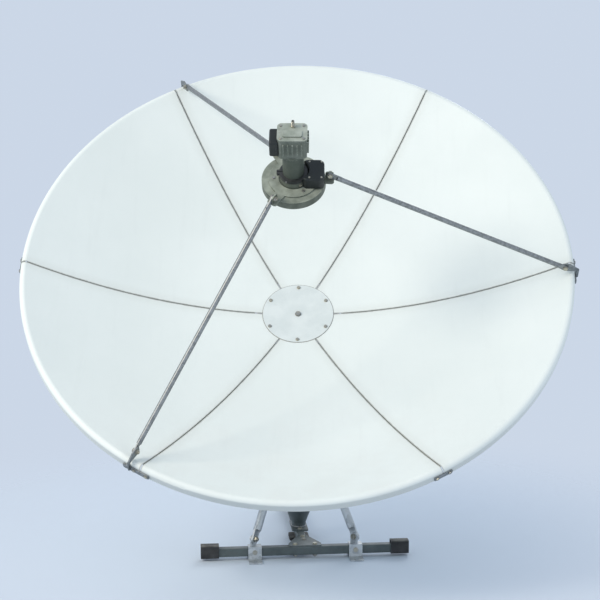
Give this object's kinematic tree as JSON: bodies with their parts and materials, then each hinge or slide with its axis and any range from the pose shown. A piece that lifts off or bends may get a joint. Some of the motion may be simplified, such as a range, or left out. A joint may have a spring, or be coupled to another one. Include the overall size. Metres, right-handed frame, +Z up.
{
  "type": "satellite dish",
  "caption": "Prime-focus satellite dish of bolted solid petals with a strut-mounted feed, on a low tripod ground mount with azimuth and elevation adjustment.",
  "frame": {"origin": "on the ground, at the foot of the mast's axis", "axes": "+Z up; the dish looks towards -Y at 45 degrees of elevation; +X to the right seen from in front"},
  "size_m": [1.8587, 1.4124, 1.6777],
  "materials": {
    "petal_paint": "satin",
    "hub_paint": "satin",
    "galvanised": "matt",
    "dark_steel": "satin",
    "bracket_steel": "satin",
    "strut_steel": "satin",
    "zinc_bolts": "satin",
    "feed_metal": "cast",
    "receiver_metal": "cast",
    "skew_plastic": "matt",
    "case_plastic": "satin",
    "cap_plastic": "matt",
    "board": "gloss",
    "connector_metal": "plated",
    "rubber": "matt"
  },
  "bodies": {
    "ground_frame": {"mast": "galvanised", "mast_foot": "dark_steel", "mast_collar": "galvanised", "leg_front_left": "galvanised", "leg_front_right": "galvanised", "leg_rear": "galvanised", "leg_bolts": "zinc_bolts", "leg_shoes": "galvanised", "front_bar": "dark_steel", "spine_rail": "dark_steel", "bar_boots": "rubber", "tee_gusset": "dark_steel", "centre_pad": "rubber", "base_bolts": "zinc_bolts"},
    "azimuth_head": {"azimuth_sleeve": "galvanised", "azimuth_cap": "galvanised", "azimuth_bolts": "zinc_bolts", "yoke": "galvanised", "pivot_bolt": "zinc_bolts", "lock_bolt": "zinc_bolts"},
    "dish": {"petal_1": "petal_paint", "petal_2": "petal_paint", "petal_3": "petal_paint", "petal_4": "petal_paint", "petal_5": "petal_paint", "petal_6": "petal_paint", "radial_ribs": "galvanised", "seam_bolts": "zinc_bolts", "hub_drum": "galvanised", "hub_cover": "hub_paint", "hub_bolts": "zinc_bolts", "strut_brackets": "bracket_steel", "rim_splices": "bracket_steel", "rim_bolts": "zinc_bolts", "feed_strut_right": "strut_steel", "feed_strut_upper_left": "strut_steel", "feed_strut_lower_left": "strut_steel", "feed_bracket": "feed_metal", "strut_bolts": "zinc_bolts", "scalar_ring": "feed_metal", "ring_screws": "zinc_bolts", "servo_case": "case_plastic", "servo_motor": "bracket_steel", "elevation_frame": "galvanised", "frame_bolts": "zinc_bolts", "pivot_spacer": "galvanised"},
    "skew_ring": {"skew_ring": "skew_plastic"},
    "receiver": {"feed_throat": "receiver_metal", "throat_cap": "cap_plastic", "polariser_vane": "cap_plastic", "lnb_housing": "receiver_metal", "lnb_cover": "receiver_metal", "lnb_screws": "zinc_bolts", "f_connector": "connector_metal", "lnb_board": "board", "lnb_side_cover": "case_plastic"}
  },
  "joints": [
    {"name": "azimuth", "type": "hinge", "parent": "ground_frame", "child": "azimuth_head", "pos_m": [0, 0, 0.55], "axis": [0, 0, 1], "continuous": true},
    {"name": "elevation", "type": "hinge", "parent": "azimuth_head", "child": "dish", "pos_m": [0, 0.02, 0.728], "axis": [-1, 0, 0], "range_deg": [-15, 35]},
    {"name": "feed_skew", "type": "hinge", "parent": "dish", "child": "skew_ring", "pos_m": [0, -0.60225, 1.35025], "axis": [0, -0.7071, 0.7071], "range_deg": [-45, 45]},
    {"name": "feed_focus", "type": "slide", "parent": "skew_ring", "child": "receiver", "axis": [0, -0.7071, 0.7071], "range_m": [-0.012, 0.012]}
  ]
}
